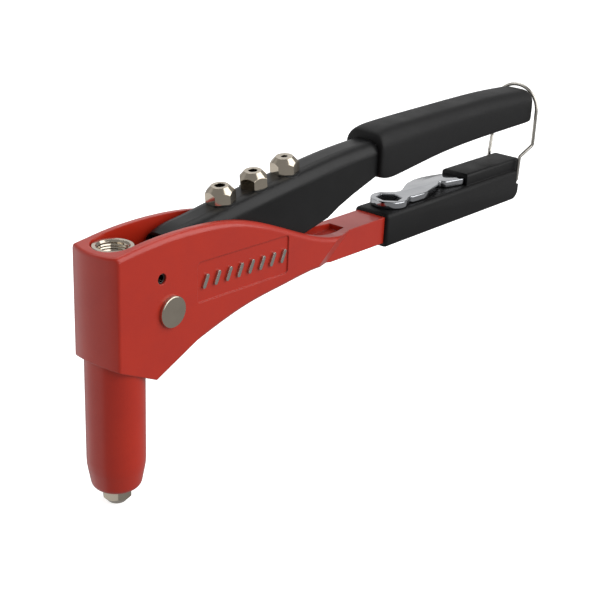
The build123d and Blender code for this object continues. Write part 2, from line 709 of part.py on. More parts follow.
with BuildPart() as jaw_case:
    add(turned((cone_mouth_r, case_end), (sleeve_r - 1, case_end), (sleeve_r, case_end + 1),
               (sleeve_r, case_top), (thread_r, case_top), (thread_r, shank_end),
               (thread_r, cone_top + 1), (thread_r, cone_top)))
save(jaw_case.part, "jaw_case")

cone_run = (thread_r - cone_mouth_r) / (cone_top - case_end)
jaw_foot = case_end + 0.8
jaw_height = 8.5


def jaw_outer_r(z):
    """Radius of the jaws' cone at height z, inside the case's cone."""
    return cone_mouth_r + cone_run * (z - case_end) - gap


for index in range(3):
    with BuildPart() as jaw:
        with BuildSketch(Plane.XZ.rotated((0, 0, 120 * index))):
            with BuildLine():
                Polyline((0.9, jaw_foot), (jaw_outer_r(jaw_foot), jaw_foot),
                         (jaw_outer_r(jaw_foot + jaw_height), jaw_foot + jaw_height),
                         (0.9, jaw_foot + jaw_height), close=True)
            make_face()
        revolve(axis=Axis.Z, revolution_arc=112)
    save(jaw.part, f"jaw_{index + 1}")

pusher_foot = jaw_foot + jaw_height
pusher_top = pusher_foot + 2.6
with BuildPart() as jaw_pusher:
    add(turned((mandrel_r - 0.6, pusher_foot), (jaw_outer_r(pusher_foot), pusher_foot),
               (thread_r - gap, pusher_foot + 1), (thread_r - gap, pusher_top),
               (mandrel_r - 0.6, pusher_top)))
save(jaw_pusher.part, "jaw_pusher")

jaw_spring_wire_r = 0.45
jaw_spring_coil_r = thread_r - gap - jaw_spring_wire_r
jaw_spring_height = shank_end - pusher_top - 2 * jaw_spring_wire_r
with BuildPart() as jaw_spring:
    with BuildLine(Plane.XY.offset(pusher_top + jaw_spring_wire_r)) as jaw_coil:
        Helix(pitch=jaw_spring_height / 4, height=jaw_spring_height, radius=jaw_spring_coil_r)
    with BuildSketch(Plane(origin=jaw_coil.line @ 0, z_dir=jaw_coil.line % 0)):
        Circle(jaw_spring_wire_r)
    sweep(path=jaw_coil.line)
save(jaw_spring.part, "jaw_spring")
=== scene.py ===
# %% [markdown]
# # A hand riveter, finished in Blender
#
# The riveter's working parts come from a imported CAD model, which this file treats as a fixed
# frame. Castings, pins, wire and nosepieces keep their CAD shape and get a finish here. The
# rubber grips, the stowed spanner and the thread in the sleeve are modelled anew, because soft
# corners, rolled edges and a real helix are what make them look right. Everything is in metres.

# %% Load the frame
import bpy
import json
import math
from mathutils import Matrix, Vector


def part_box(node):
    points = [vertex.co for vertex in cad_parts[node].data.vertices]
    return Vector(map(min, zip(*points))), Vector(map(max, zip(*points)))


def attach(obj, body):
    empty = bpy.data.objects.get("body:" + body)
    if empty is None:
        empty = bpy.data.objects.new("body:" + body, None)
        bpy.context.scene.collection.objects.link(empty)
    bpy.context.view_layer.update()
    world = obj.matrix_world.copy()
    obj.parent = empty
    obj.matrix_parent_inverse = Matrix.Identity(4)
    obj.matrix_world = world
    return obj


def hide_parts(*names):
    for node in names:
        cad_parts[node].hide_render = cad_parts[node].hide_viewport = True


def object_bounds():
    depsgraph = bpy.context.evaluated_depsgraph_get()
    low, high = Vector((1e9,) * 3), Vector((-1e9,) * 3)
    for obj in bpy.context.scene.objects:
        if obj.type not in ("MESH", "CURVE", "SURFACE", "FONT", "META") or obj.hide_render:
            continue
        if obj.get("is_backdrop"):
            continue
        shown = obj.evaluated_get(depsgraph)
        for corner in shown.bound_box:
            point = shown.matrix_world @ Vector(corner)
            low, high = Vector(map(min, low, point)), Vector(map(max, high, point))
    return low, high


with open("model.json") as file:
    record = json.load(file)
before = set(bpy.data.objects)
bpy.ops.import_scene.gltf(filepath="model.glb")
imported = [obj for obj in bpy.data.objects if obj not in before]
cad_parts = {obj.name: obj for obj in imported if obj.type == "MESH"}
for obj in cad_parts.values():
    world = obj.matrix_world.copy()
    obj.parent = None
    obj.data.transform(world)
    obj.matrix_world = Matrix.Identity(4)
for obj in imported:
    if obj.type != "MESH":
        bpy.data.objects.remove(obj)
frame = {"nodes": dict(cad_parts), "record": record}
cad_low, cad_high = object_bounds()
MM = 0.001
print("CAD box", [round(v / MM, 1) for v in cad_low], [round(v / MM, 1) for v in cad_high])

# %% [markdown]
# ## Camera first
#
# The camera stands close to the nose and a little above it, on the near side, so the barrel is
# larger than the ends of the handles. It is placed by an azimuth, an elevation, a roll and a
# distance from a point in the middle of the tool.

# %% Camera
AZIMUTH = math.radians(-51.26)
ELEVATION = math.radians(22.362)
ROLL = math.radians(2.51)
DISTANCE = 519.5 * MM
TARGET = Vector((102.3 * MM, 0, 49.3 * MM))
LENS = 75.73
CLIP_START = 0.01

back = Vector((math.sin(AZIMUTH) * math.cos(ELEVATION),
               -math.cos(AZIMUTH) * math.cos(ELEVATION), math.sin(ELEVATION)))
camera = bpy.data.objects.new("camera", bpy.data.cameras.new("camera"))
bpy.context.collection.objects.link(camera)
camera.data.lens = LENS
camera.data.clip_start = CLIP_START
camera.location = TARGET + back * DISTANCE
turn = (-back).to_track_quat("-Z", "Y").to_matrix() @ Matrix.Rotation(ROLL, 3, "Z")
camera.rotation_mode = "QUATERNION"
camera.rotation_quaternion = turn.to_quaternion()
bpy.context.scene.camera = camera
print("camera at", [round(v, 4) for v in camera.location])

# %% [markdown]
# ## Selecting as by hand
#
# Each operator works on what is selected. These two helpers clear the selection before a step, and
# pick points or edges by where they are, so that no step depends on a numbering that may change.

# %% Selection helpers
NEAR = 0.1 * MM


def only(piece):
    """Make one object the active and only selected one."""
    if bpy.context.object and bpy.context.object.mode != "OBJECT":
        bpy.ops.object.mode_set(mode="OBJECT")
    bpy.ops.object.select_all(action="DESELECT")
    piece.select_set(True)
    bpy.context.view_layer.objects.active = piece


def pick(piece, kind, test):
    """Select the vertices or edges whose middle passes the test, and stay in edit mode."""
    bpy.ops.object.mode_set(mode="EDIT")
    bpy.ops.mesh.select_mode(type={"vertices": "VERT", "edges": "EDGE"}[kind])
    bpy.ops.mesh.select_all(action="DESELECT")
    bpy.ops.object.mode_set(mode="OBJECT")
    mesh = piece.data
    for item in getattr(mesh, kind):
        if kind == "vertices":
            middle = item.co
        else:
            middle = sum((mesh.vertices[i].co for i in item.vertices), Vector()) / len(item.vertices)
        item.select = bool(test(item, middle))
    bpy.ops.object.mode_set(mode="EDIT")


print("places are matched to", NEAR / MM, "mm")

# %% [markdown]
# ## Making and finishing a piece
#
# A box is the start of the squarer pieces. A modifier is applied as soon as its values are set, and
# at the end a piece's place goes into its mesh, its seams are closed and its normals point outwards.

# %% Helpers for a piece
SEAM = 0.01 * MM


def block(name, low, high):
    """A box primitive between two corners, with its place in its mesh."""
    bpy.ops.object.select_all(action="DESELECT")
    bpy.ops.mesh.primitive_cube_add(size=1, location=(Vector(low) + Vector(high)) / 2)
    piece = bpy.context.object
    piece.name = name
    piece.scale = Vector(high) - Vector(low)
    bpy.ops.object.transform_apply(location=True, rotation=True, scale=True)
    return piece


def use(piece, kind, name, **values):
    """Add a modifier, set its values and apply it."""
    only(piece)
    modifier = piece.modifiers.new(name, kind)
    for key, value in values.items():
        setattr(modifier, key, value)
    bpy.ops.object.modifier_apply(modifier=modifier.name)


def finish_piece(piece, angle=30):
    """Put a piece's place in its mesh, close and orient it, and smooth its gentle edges."""
    only(piece)
    bpy.ops.object.transform_apply(location=True, rotation=True, scale=True)
    bpy.ops.object.mode_set(mode="EDIT")
    bpy.ops.mesh.select_all(action="SELECT")
    bpy.ops.mesh.remove_doubles(threshold=SEAM)
    bpy.ops.mesh.normals_make_consistent(inside=False)
    bpy.ops.object.mode_set(mode="OBJECT")
    bpy.ops.object.shade_smooth_by_angle(angle=math.radians(angle))
    print(piece.name, len(piece.data.polygons), "faces")


print("seams up to", SEAM / MM, "mm are closed")

# %% [markdown]
# ## Effects that several finishes share
#
# A node group is a small machine with named inputs. Four are enough here: a grain for bumps, a
# mottle that shifts a colour a little from place to place, a mask of worn corners, and fine
# scratches that run one way. The helpers below save writing each node out in full.

# %% Node helpers
def feed(tree, socket, value):
    """Set a socket to a number or a tuple, or link another socket to it."""
    if isinstance(value, (int, float, tuple)):
        socket.default_value = value
    else:
        tree.links.new(value, socket)


def new_group(name, inputs, outputs):
    """A shader node group with named sockets, and its input and output nodes."""
    group = bpy.data.node_groups.new(name, "ShaderNodeTree")
    for label, kind, default in inputs:
        socket = group.interface.new_socket(label, in_out="INPUT", socket_type=kind)
        socket.default_value = default
    for label, kind in outputs:
        group.interface.new_socket(label, in_out="OUTPUT", socket_type=kind)
    return group, group.nodes.new("NodeGroupInput"), group.nodes.new("NodeGroupOutput")


def math_node(tree, operation, *values, clamp=False):
    """A Math node, with numbers set and sockets linked."""
    node = tree.nodes.new("ShaderNodeMath")
    node.operation = operation
    node.use_clamp = clamp
    for socket, value in zip(node.inputs, values):
        feed(tree, socket, value)
    return node.outputs[0]


def noise(tree, vector, scale, detail=3.0, roughness=0.5):
    """A noise texture over a vector, whose scale is a number or a socket."""
    node = tree.nodes.new("ShaderNodeTexNoise")
    tree.links.new(vector, node.inputs["Vector"])
    feed(tree, node.inputs["Scale"], scale)
    node.inputs["Detail"].default_value = detail
    node.inputs["Roughness"].default_value = roughness
    return node.outputs["Fac"]


def spread(tree, value, low, high, new_low=0.0, new_high=1.0):
    """A Map Range node."""
    node = tree.nodes.new("ShaderNodeMapRange")
    tree.links.new(value, node.inputs["Value"])
    for label, number in (("From Min", low), ("From Max", high), ("To Min", new_low),
                          ("To Max", new_high)):
        node.inputs[label].default_value = number
    return node.outputs["Result"]


print("helpers for sockets, groups, sums, noise and ranges are ready")

# %% Grain: a bump height made of a coarse and a fine noise
FINER = 4.3
FINE_SHARE = 0.35
grain_group, source, sink = new_group(
    "grain", [("Vector", "NodeSocketVector", (0, 0, 0)), ("Size", "NodeSocketFloat", 1000.0)],
    [("Height", "NodeSocketFloat")])
coarse = noise(grain_group, source.outputs["Vector"], source.outputs["Size"], detail=2.0)
finer = math_node(grain_group, "MULTIPLY", source.outputs["Size"], FINER)
fine = noise(grain_group, source.outputs["Vector"], finer, detail=4.0, roughness=0.6)
both = math_node(grain_group, "MULTIPLY_ADD", fine, FINE_SHARE, coarse)
grain_group.links.new(both, sink.inputs["Height"])
print("grain: a fine noise", FINER, "times finer, at a share of", FINE_SHARE)

# %% Mottle: a slow variation from 0 to 1, with smudges in it
mottle_group, source, sink = new_group(
    "mottle", [("Vector", "NodeSocketVector", (0, 0, 0)), ("Size", "NodeSocketFloat", 40.0)],
    [("Value", "NodeSocketFloat")])
slow = noise(mottle_group, source.outputs["Vector"], source.outputs["Size"], detail=5.0,
             roughness=0.65)
mottle_group.links.new(spread(mottle_group, slow, low=0.3, high=0.7), sink.inputs["Value"])
print("mottle: one slow noise, stretched to its full range")

# %% [markdown]
# ### Corners: wear and painted highlight
#
# Paint wears first where the surface turns sharply, and there the corner colour is also a painted
# highlight along the edge. The material rounds its own normal with a Bevel node, and where that
# rounded normal has turned away from the true one there is a corner. The flat facets of a curved
# CAD face turn a little too, so a small turn is left out of the mask. A noise breaks the mask up,
# because real wear isn't an even line.

# %% Corners: a mask for wear and painted highlights on corners, broken up
FACET_TURN = 0.03
WEAR_AND_HIGHLIGHT_BREAKUP = 260.0
# This mask marks the corners that get a lighter colour: partly wear, partly a painted highlight along
# the edges.
corner_group, source, sink = new_group(
    "corners", [("Vector", "NodeSocketVector", (0, 0, 0)), ("Rounded", "NodeSocketVector", (0, 0, 0)),
                ("Reach", "NodeSocketFloat", 0.06)],
    [("Mask", "NodeSocketFloat")])
geometry = corner_group.nodes.new("ShaderNodeNewGeometry")
compare = corner_group.nodes.new("ShaderNodeVectorMath")
compare.operation = "DOT_PRODUCT"
corner_group.links.new(geometry.outputs["Normal"], compare.inputs[0])
corner_group.links.new(source.outputs["Rounded"], compare.inputs[1])
turned = math_node(corner_group, "SUBTRACT", 1.0 - FACET_TURN, compare.outputs["Value"], clamp=True)
broken = noise(corner_group, source.outputs["Vector"], WEAR_AND_HIGHLIGHT_BREAKUP, detail=6.0, roughness=0.7)
uneven = math_node(corner_group, "MULTIPLY", turned, spread(corner_group, broken, low=0.42, high=0.7))
mask = math_node(corner_group, "DIVIDE", uneven, source.outputs["Reach"], clamp=True)
corner_group.links.new(mask, sink.inputs["Mask"])
print("corners: turns up to", FACET_TURN, "are left out")

# %% Scratches: fine lines, drawn out along each axis whose stretch is small
scratch_group, source, sink = new_group(
    "scratches", [("Vector", "NodeSocketVector", (0, 0, 0)), ("Size", "NodeSocketFloat", 900.0),
                  ("Stretch", "NodeSocketVector", (0.03, 1.0, 1.0))],
    [("Height", "NodeSocketFloat")])
stretch = scratch_group.nodes.new("ShaderNodeVectorMath")
stretch.operation = "MULTIPLY"
scratch_group.links.new(source.outputs["Vector"], stretch.inputs[0])
scratch_group.links.new(source.outputs["Stretch"], stretch.inputs[1])
lines = noise(scratch_group, stretch.outputs["Vector"], source.outputs["Size"], detail=3.0)
scratch_group.links.new(lines, sink.inputs["Height"])
print("node groups", [group.name for group in bpy.data.node_groups])

# %% [markdown]
# ## A finish and its parts
#
# Every finish on this tool is a Principled shader with the same wiring: a base colour that the
# mottle shifts, another colour on corners that is partly wear and partly a painted highlight, a
# roughness that the mottle varies, and a bump on top of slightly rounded corners. What differs are
# the values, so one function makes them all.
# The rounded normal also takes the hard look off edges that are sharp in the CAD model.

# %% Helpers for a material
MIX_FACTOR, MIX_FIRST, MIX_SECOND, MIX_RESULT = 0, 6, 7, 2


def use_group(tree, group, vector, **values):
    """A node group over a vector, with its other inputs set or linked."""
    node = tree.nodes.new("ShaderNodeGroup")
    node.node_tree = group
    tree.links.new(vector, node.inputs["Vector"])
    for label, value in values.items():
        feed(tree, node.inputs[label], value)
    return node.outputs[0]


def mix_colours(tree, factor, first, second):
    """A Mix node between two colours, each of them a colour or a socket."""
    node = tree.nodes.new("ShaderNodeMix")
    node.data_type = "RGBA"
    feed(tree, node.inputs[MIX_FACTOR], factor)
    feed(tree, node.inputs[MIX_FIRST], first)
    feed(tree, node.inputs[MIX_SECOND], second)
    return node.outputs[MIX_RESULT]


print("a colour Mix node has its result at output", MIX_RESULT)

# %% The finish function
BEVEL_SAMPLES = 6
SMOOTHEST, ROUGHEST = 0.88, 1.16


def finish_of(name, colour, second, wear_and_highlight, rough, metallic=0.0, coat=0.0, coat_rough=0.1,
              grain=900.0, depth=0.02, scratches=0.0, stretch=(0.03, 1.0, 1.0), edge=0.35,
              reach=0.06, specular=0.5, patch=45.0, marks=900.0):
    """A material: colour and second are the mottle's two colours, wear_and_highlight is the corners'
    colour, partly wear and partly a painted highlight.
    """
    material = bpy.data.materials.new(name)
    material.use_nodes = True
    tree = material.node_tree
    shader = tree.nodes["Principled BSDF"]
    vector = tree.nodes.new("ShaderNodeTexCoord").outputs["Object"]
    rounded = tree.nodes.new("ShaderNodeBevel")
    rounded.samples = BEVEL_SAMPLES
    rounded.inputs["Radius"].default_value = edge * MM

    patches = use_group(tree, mottle_group, vector, Size=patch)
    corners = use_group(tree, corner_group, vector, Rounded=rounded.outputs["Normal"], Reach=reach)
    tint = mix_colours(tree, patches, (*colour, 1), (*second, 1))
    # On corners the base colour gives way to a lighter one, partly wear and partly a painted
    # highlight along the edges.
    tree.links.new(mix_colours(tree, corners, tint, (*wear_and_highlight, 1)), shader.inputs["Base Color"])
    tree.links.new(spread(tree, patches, 0.0, 1.0, rough * SMOOTHEST, rough * ROUGHEST),
                   shader.inputs["Roughness"])

    height = use_group(tree, grain_group, vector, Size=grain)
    if scratches:
        lines = use_group(tree, scratch_group, vector, Stretch=stretch, Size=marks)
        height = math_node(tree, "MULTIPLY_ADD", lines, scratches, height)
    bump = tree.nodes.new("ShaderNodeBump")
    bump.inputs["Strength"].default_value = 1.0
    bump.inputs["Distance"].default_value = depth * MM
    tree.links.new(height, bump.inputs["Height"])
    tree.links.new(rounded.outputs["Normal"], bump.inputs["Normal"])
    tree.links.new(bump.outputs["Normal"], shader.inputs["Normal"])

    shader.inputs["Metallic"].default_value = metallic
    shader.inputs["Coat Weight"].default_value = coat
    shader.inputs["Coat Roughness"].default_value = coat_rough
    shader.inputs["Specular IOR Level"].default_value = specular
    return material


FINISHES = {}
print("roughness varies from", SMOOTHEST, "to", ROUGHEST, "times its value")

# %% [markdown]
# ## Paint
#
# The casting is sprayed with a warm red enamel: glossy, with a faint orange-peel ripple, and a
# lighter colour at its corners that is thin wear and a painted highlight along the edges. The ripple
# is a coarse and shallow grain, and the gloss is a clear coat over the colour. The lever is painted
# satin black, with a finer grain and no clear coat.

# %% Red enamel and satin black
# The lighter corner colour of the red enamel is partly wear, partly a painted highlight along its
# edges.
FINISHES["red_paint"] = finish_of(
    "red_enamel", colour=(0.50, 0.026, 0.009), second=(0.44, 0.020, 0.008), wear_and_highlight=(0.62, 0.12, 0.08),
    rough=0.34, coat=0.28, coat_rough=0.06, grain=420.0, depth=0.010, edge=0.6, reach=0.45,
    specular=0.4)
# The satin black's lighter corner colour is likewise partly wear and partly a painted highlight.
FINISHES["black_paint"] = finish_of(
    "satin_black", colour=(0.004, 0.004, 0.0043), second=(0.0062, 0.0062, 0.0066),
    wear_and_highlight=(0.035, 0.035, 0.036), rough=0.36, grain=1500.0, depth=0.010, edge=0.5, reach=0.5,
    specular=0.28)
print("paints", list(FINISHES))

# %% [markdown]
# ## Rubber
#
# The grips are dipped rubber with a fine matt grain. It is as dark as the lever's paint, so what
# sets it apart is its roughness and a bump three times as deep.

# %% Dipped rubber
# The rubber's lighter corner colour is partly wear and partly a painted highlight.
FINISHES["grip_rubber"] = finish_of(
    "dipped_rubber", colour=(0.0045, 0.0045, 0.0048), second=(0.007, 0.007, 0.0074),
    wear_and_highlight=(0.02, 0.02, 0.021), rough=0.5, grain=2600.0, depth=0.03, edge=0.4, reach=0.6,
    specular=0.24, patch=60.0)
print("rubber", FINISHES["grip_rubber"].name)

# %% [markdown]
# ## Plated metal
#
# The nosepieces are turned on a lathe and nickel plated, so fine marks ring them and their colour
# is warmer than the chrome of the spanner. Marks that ring an upright piece are a noise drawn out
# sideways, which is what the stretch does. The pin and the sleeve are nickel too. Stamped chrome is
# cooler, and has fewer marks.

# %% Nickel and chrome
# The lighter corner colours of the nickel and the chrome are partly wear and partly painted
# highlights.
FINISHES["nickel_plate"] = finish_of(
    "turned_nickel", colour=(0.62, 0.55, 0.45), second=(0.50, 0.44, 0.36), wear_and_highlight=(0.85, 0.80, 0.70),
    rough=0.12, metallic=1.0, grain=1300.0, depth=0.003, scratches=1.2, marks=4200.0,
    stretch=(0.06, 0.06, 1.0), edge=0.2, reach=0.5)
FINISHES["chrome_plate"] = finish_of(
    "stamped_chrome", colour=(0.50, 0.51, 0.53), second=(0.42, 0.43, 0.45), wear_and_highlight=(0.90, 0.90, 0.92),
    rough=0.11, metallic=1.0, grain=700.0, depth=0.005, scratches=0.5, edge=0.4, reach=0.5)
print("plated", FINISHES["nickel_plate"].name, FINISHES["chrome_plate"].name)

# %% [markdown]
# ## Bare metal
#
# The bail is bright spring wire with faint marks, and the raised bars on the body's sides share its
# finish. The springs, the clip, the stop pin, the plug and the jaws are oiled dark steel, and the
# bush that the lever turns on is bronze.

# %% Wire, steel and bronze
# The lighter corner colours of the wire, the steel and the bronze are partly wear and partly painted
# highlights.
FINISHES["bright_metal"] = finish_of(
    "bright_wire", colour=(0.58, 0.55, 0.50), second=(0.46, 0.44, 0.40), wear_and_highlight=(0.75, 0.73, 0.68),
    rough=0.26, metallic=1.0, grain=1600.0, depth=0.006, scratches=0.6, edge=0.3, reach=0.5)
FINISHES["dark_steel"] = finish_of(
    "oiled_steel", colour=(0.13, 0.125, 0.12), second=(0.07, 0.066, 0.062), wear_and_highlight=(0.35, 0.34, 0.33),
    rough=0.36, metallic=1.0, grain=1500.0, depth=0.01, edge=0.2, reach=0.3)
FINISHES["bronze"] = finish_of(
    "bearing_bronze", colour=(0.42, 0.25, 0.10), second=(0.30, 0.17, 0.07), wear_and_highlight=(0.60, 0.40, 0.20),
    rough=0.34, metallic=1.0, grain=1300.0, depth=0.01, edge=0.2, reach=0.3)
print(len(FINISHES), "finishes")

# %% [markdown]
# ## Dressing the CAD nodes
#
# The record says which material slot each CAD node has. A node's mesh is never touched: it only
# gets the finish of its slot.

# %% Dress the nodes
SLOT_OF = {entry["node"]: entry["material_slot"] for entry in frame["record"]["subparts"]}


def dress(piece, slot):
    """Give a piece the finish of a material slot."""
    piece.data.materials.clear()
    piece.data.materials.append(FINISHES[slot])


for node, cad_object in frame["nodes"].items():
    dress(cad_object, SLOT_OF[node])
print(len(frame["nodes"]), "nodes finished")

# %% [markdown]
# ## The upper grip
#
# The rubber sleeve on the lever has a round back, flat sides and a swollen front end. It could be
# bent from a cylinder, but a face the shape of its section gives more control: it is bevelled from
# a rectangle and then extruded backwards through a row of stations, and at each one it is scaled
# and shifted to the height and width of the sleeve there. A subdivision surface then takes the
# last corners off.

# %% Stations, in millimetres
# How far behind the front end, how far the underside and the back lie below the crest, and how
# much the sleeve draws in on each side.
STATIONS = [
    (0, 18.4, 3.6, 1.8), (0.4, 19.7, 2.1, 0.9), (1.2, 20.4, 1.4, 0.45), (2.4, 20.8, 1.0, 0.25),
    (5.0, 21.5, 0.5, 0.05), (10, 21.8, 0.15, 0), (18, 20.9, 0.05, 0), (28, 19.9, 0, 0),
    (42, 18.5, 0, 0.1), (58, 17.6, 0, 0.15), (76, 17.2, 0, 0.15), (92, 17.1, 0.15, 0.1),
    (106, 17.1, 0.7, 0.1), (117, 17.1, 1.4, 0.1), (121.2, 17.05, 1.6, 0.15), (121.9, 16.8, 1.9, 0.5),
    (122.2, 16.2, 2.5, 1.1), (122.2, 14.0, 5.0, 3.5)]
low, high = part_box("upper_grip")
sections = [(low.x + along * MM, high.z - under * MM, high.z - over * MM, high.y - inset * MM)
            for along, under, over, inset in STATIONS]
print(len(sections), "sections from", round(low.x / MM, 1), "to", round(high.x / MM, 1), "mm")


# %% A rounded face and a run through the sections
def rounded_section(name, section, top_radius, low_radius):
    """A face across the tool, with its upper and lower corners rounded by vertex bevels."""
    x, low_z, high_z, half_width = section
    bpy.ops.object.select_all(action="DESELECT")
    bpy.ops.mesh.primitive_plane_add(size=1, rotation=(0, -math.pi / 2, 0))
    piece = bpy.context.object
    piece.name = name
    bpy.ops.object.transform_apply(rotation=True)
    piece.scale = (1, 2 * half_width, high_z - low_z)
    piece.location = (x, 0, (low_z + high_z) / 2)
    bpy.ops.object.transform_apply(location=True, rotation=True, scale=True)
    for corner_z, radius, steps in ((high_z, top_radius, 5), (low_z, low_radius, 3)):
        pick(piece, "vertices", lambda item, co: abs(co.z - corner_z) < NEAR)
        bpy.ops.mesh.bevel(affect="VERTICES", offset=radius, segments=steps)
        bpy.ops.object.mode_set(mode="OBJECT")
    print(name, "section has", len(piece.data.vertices), "points")
    return piece


def run_through(piece, sections):
    """Extrude the open face, which is the first section, through the others."""
    bpy.ops.object.mode_set(mode="EDIT")
    bpy.ops.mesh.select_mode(type="FACE")
    bpy.ops.mesh.select_all(action="SELECT")
    x, low, high, half = sections[0]
    for next_x, next_low, next_high, next_half in sections[1:]:
        lift = (next_low + next_high - low - high) / 2
        bpy.ops.mesh.extrude_region_move(
            TRANSFORM_OT_translate={"value": (next_x - x, 0, lift)})
        bpy.ops.transform.resize(
            value=(1, next_half / half, (next_high - next_low) / (high - low)),
            center_override=(next_x, 0, (next_low + next_high) / 2))
        x, low, high, half = next_x, next_low, next_high, next_half
    bpy.ops.object.mode_set(mode="OBJECT")


# %% Model the upper grip
BACK_RADIUS = 5.4 * MM
UNDERSIDE_RADIUS = 1.6 * MM
upper_grip = rounded_section("upper_grip_sleeve", sections[0], BACK_RADIUS, UNDERSIDE_RADIUS)
run_through(upper_grip, sections)
use(upper_grip, "SUBSURF", "soften", levels=2, render_levels=2)
finish_piece(upper_grip, 60)
dress(upper_grip, "grip_rubber")
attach(upper_grip, "lever")
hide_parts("upper_grip")

# %% [markdown]
# ## The lower grip
#
# This sleeve is squarer, and falls backwards as the tang inside it does. It starts as a level box
# whose long edges are bevelled, and it is tilted about its foot when its corners are done, because
# edges are easier to find on a level box. The raised pocket over the spanner's tail is a second
# block with a softened roof, standing on the ledge. Booleans hollow the pocket and make the notches
# that the bail's legs stand in.

# %% Places on the lower grip
SLOPE = 0.018
POCKET_LENGTH = 46.5 * MM
POCKET_HALF = 7.0 * MM
POCKET_HEIGHT = 5.3 * MM
UNDERSIDE_RISE = 2.2 * MM
low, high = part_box("lower_grip")
front, end, half = low.x, high.x, high.y
pocket_front = end - POCKET_LENGTH
roof = high.z + SLOPE * (pocket_front - front)
ledge = roof - POCKET_HEIGHT
underside = low.z + UNDERSIDE_RISE
grip_foot = Vector((front, 0, underside))
print("lower grip from", round(front / MM, 1), "to", round(end / MM, 1), "mm, ledge at",
      round(ledge / MM, 1))


# %% Cutting and tilting helpers
def cut(piece, low, high):
    """Cut a box out of a piece."""
    cutter = block("cutter", low, high)
    only(piece)
    modifier = piece.modifiers.new("cut", "BOOLEAN")
    modifier.object = cutter
    modifier.operation = "DIFFERENCE"
    modifier.solver = "EXACT"
    bpy.ops.object.modifier_apply(modifier=modifier.name)
    bpy.data.objects.remove(cutter)


def tilt(piece, pivot):
    """Turn a piece about a point until it falls backwards as the tang does."""
    turn = Matrix.Rotation(math.atan(SLOPE), 4, "Y")
    piece.matrix_world = Matrix.Translation(pivot) @ turn @ Matrix.Translation(-pivot)
    only(piece)
    bpy.ops.object.transform_apply(location=True, rotation=True, scale=True)


print("the tang falls", round(math.degrees(math.atan(SLOPE)), 2), "degrees")

# %% The sleeve: a round heel, then soft long edges, then a soft front rim
HEEL_RADIUS = 4.8 * MM
LONG_EDGE_RADIUS = 1.9 * MM
FRONT_RIM_RADIUS = 1.2 * MM
HEEL_ZONE = 4 * MM
sleeve = block("lower_grip_sleeve", (front, -half, underside), (end, half, ledge))
pick(sleeve, "edges", lambda item, co: abs(co.x - end) < NEAR and abs(co.z - underside) < NEAR)
bpy.ops.mesh.bevel(offset=HEEL_RADIUS, segments=6)
pick(sleeve, "edges", lambda item, co: abs(abs(co.y) - half) < NEAR
     and (abs(co.z - underside) < 2 * MM or abs(co.z - ledge) < NEAR or co.x > end - HEEL_ZONE)
     and abs(co.x - front) > MM)
bpy.ops.mesh.bevel(offset=LONG_EDGE_RADIUS, segments=4)
pick(sleeve, "edges", lambda item, co: all(
    abs(sleeve.data.vertices[i].co.x - front) < NEAR for i in item.vertices))
bpy.ops.mesh.bevel(offset=FRONT_RIM_RADIUS, segments=3)
bpy.ops.object.mode_set(mode="OBJECT")
print("sleeve", len(sleeve.data.polygons), "faces")

# %% The pocket: a block with a soft roof
ROOF_RADIUS = 1.3 * MM
POCKET_SINK = 1 * MM
POCKET_PAST_END = 0.2 * MM
pocket = block("pocket", (pocket_front, -POCKET_HALF, ledge - POCKET_SINK),
               (end + POCKET_PAST_END, POCKET_HALF, roof))
pick(pocket, "edges", lambda item, co: abs(co.z - roof) < NEAR or (
    abs(co.x - end) < MM and abs(abs(co.y) - POCKET_HALF) < NEAR))
bpy.ops.mesh.bevel(offset=ROOF_RADIUS, segments=4)
bpy.ops.object.mode_set(mode="OBJECT")
print("pocket", len(pocket.data.polygons), "faces")

# %% Tilt both, hollow the pocket for the spanner's tail and join it to the sleeve
TAIL_HALF = 5.9 * MM
HOLLOW_DEPTH = 28 * MM
HOLLOW_ABOVE = 3.3 * MM
HOLLOW_BELOW = 3 * MM
PAST = 5 * MM
tilt(sleeve, grip_foot)
tilt(pocket, grip_foot)
tail_foot = ledge - SLOPE * (pocket_front - front)
cut(pocket, (pocket_front - PAST, -TAIL_HALF, tail_foot - HOLLOW_BELOW),
    (pocket_front + HOLLOW_DEPTH, TAIL_HALF, tail_foot + HOLLOW_ABOVE))
only(sleeve)
pocket.select_set(True)
bpy.ops.object.join()
print("sleeve and pocket", len(sleeve.data.polygons), "faces")

# %% The notches for the bail's legs, and the finished grip
NOTCH_DEPTH = 3.5 * MM
NOTCH_INNER, NOTCH_OUTER = 7.2 * MM, 12 * MM
CUTTER_LOW, CUTTER_HIGH = 68 * MM, 95 * MM
SOFT_EDGE = 0.35 * MM
for side in (-1, 1):
    right, left = sorted((side * NOTCH_INNER, side * NOTCH_OUTER))
    cut(sleeve, (end - NOTCH_DEPTH, right, CUTTER_LOW), (end + PAST, left, CUTTER_HIGH))
use(sleeve, "BEVEL", "soften", width=SOFT_EDGE, segments=2, limit_method="ANGLE",
    angle_limit=math.radians(40))
finish_piece(sleeve, 40)
dress(sleeve, "grip_rubber")
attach(sleeve, "body")
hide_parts("lower_grip")

# %% [markdown]
# ## The spanner
#
# The stowed spanner is stamped from plate and chromed, so its edges are rolled over a little. It
# could be cut from a slab, but a flat curve with its outline and its hexagon, given a thickness
# and a round bevel, makes plate, hole and rolled edges at once. It is then turned into a mesh and
# laid at the tang's slope.

# %% Outline of the spanner, in millimetres from the ring's centre
RING_R = 8.2
HEXAGON_R = 5.77
HEXAGON_TURN = 12


def around(radius, degrees):
    """A point at a radius and an angle."""
    return radius * math.cos(math.radians(degrees)), radius * math.sin(math.radians(degrees))


